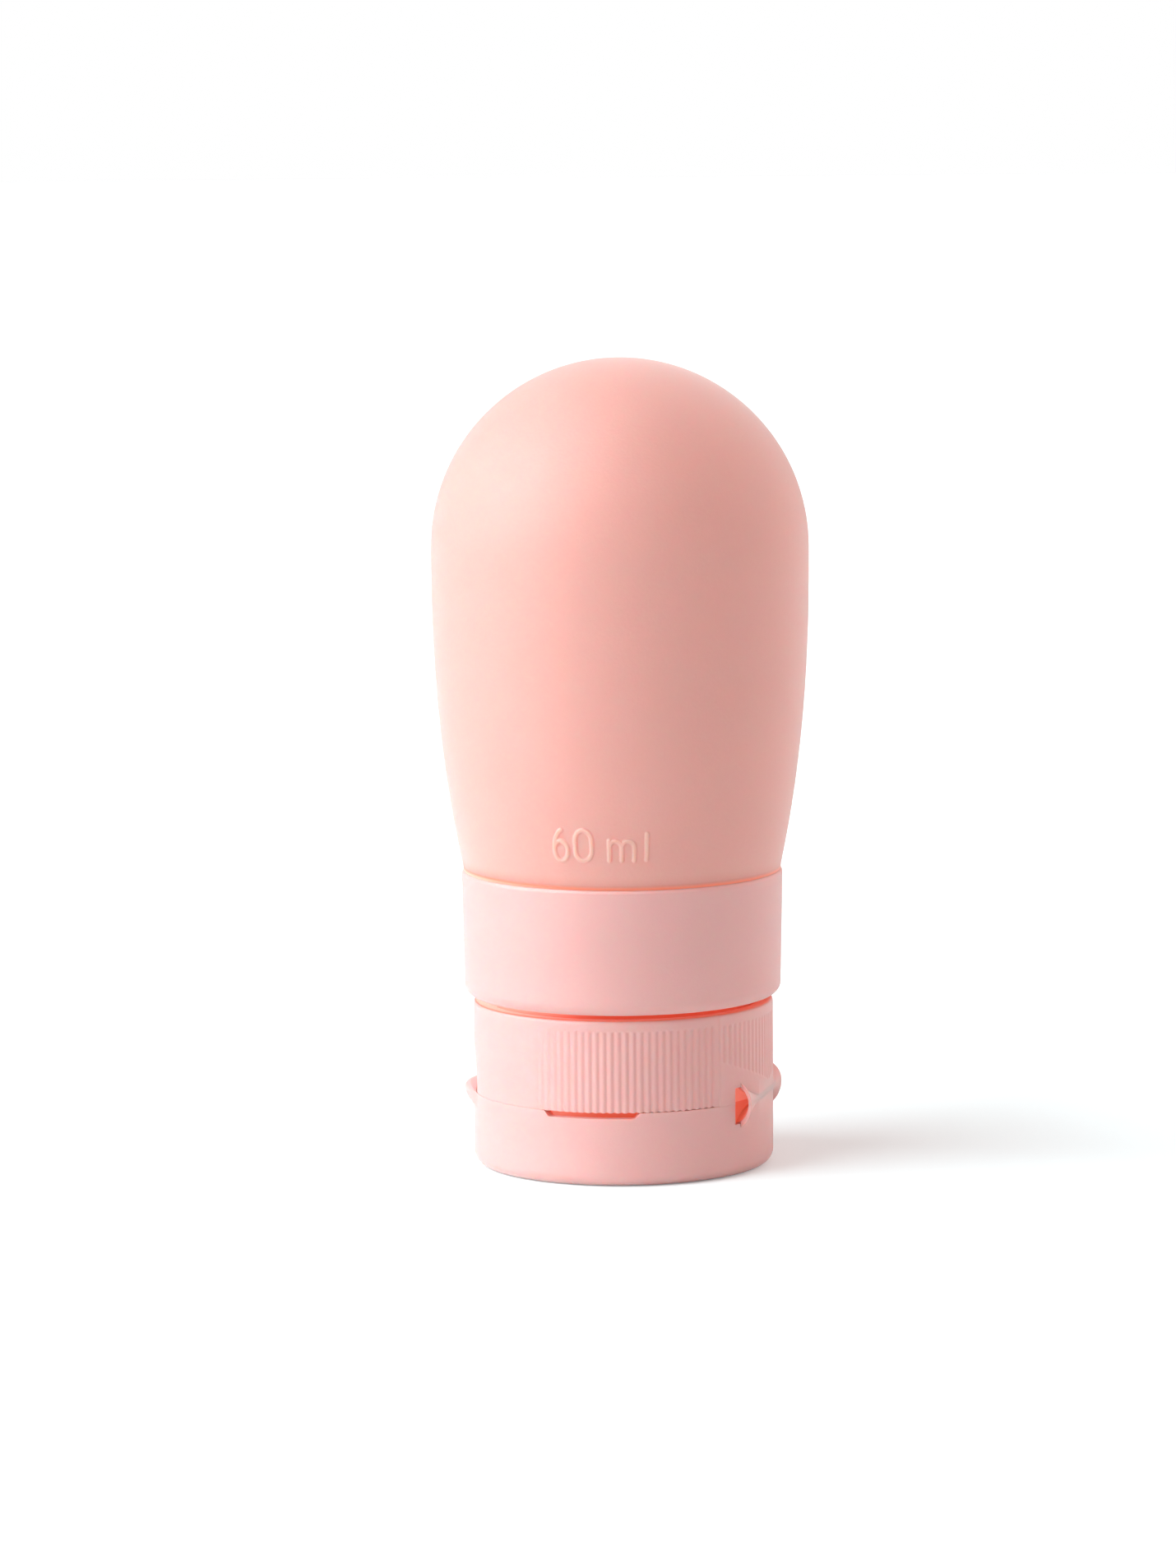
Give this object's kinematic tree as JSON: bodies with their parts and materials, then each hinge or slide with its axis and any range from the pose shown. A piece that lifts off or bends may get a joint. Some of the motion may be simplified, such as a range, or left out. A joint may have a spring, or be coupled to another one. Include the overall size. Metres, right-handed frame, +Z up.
{
  "type": "squeeze travel bottle",
  "caption": "Soft domed squeeze bottle for toiletries that stands on its hinged flip lid, with a screw cap, a collar ring and an inner drip valve.",
  "frame": {"origin": "centre of the closed lid's flat base, on the bottle's axis", "axes": "+Z up along the bottle's axis from the lid to the dome; -Y is the front with the capacity mark; +X is to the right seen from the front; the lid's hinge is 76.5 degrees from the front towards +X"},
  "size_m": [0.0452, 0.0452, 0.0971],
  "materials": {
    "pink_silicone": "matte",
    "pink_plastic": "satin",
    "valve_silicone": "satin"
  },
  "bodies": {
    "bottle": {"silicone_body": "pink_silicone", "collar": "pink_plastic", "threaded_neck": "pink_plastic"},
    "seals": {"neck_gasket": "valve_silicone", "drip_valve": "valve_silicone", "valve_retainer": "pink_plastic"},
    "cap": {"cap_shell": "pink_plastic", "hinge_film": "pink_plastic"},
    "lid": {"flip_lid": "pink_plastic"}
  },
  "joints": [
    {"name": "cap_travel", "type": "slide", "parent": "bottle", "child": "seals", "axis": [0, 0, -1], "range_m": [0, 0.00375]},
    {"name": "cap_turn", "type": "hinge", "parent": "seals", "child": "cap", "pos_m": [0, 0, 0.015], "axis": [0, 0, -1], "range_deg": [0, 450]},
    {"name": "lid_flip", "type": "hinge", "parent": "cap", "child": "lid", "pos_m": [0.01721, -0.00413, 0.0089], "axis": [-0.2334, -0.9724, 0], "range_deg": [0, 155], "deforming": ["hinge_film"]}
  ],
  "couplings": [
    {"joint": "cap_travel", "follows": "cap_turn", "m_per_rad": 0.00047746}
  ]
}
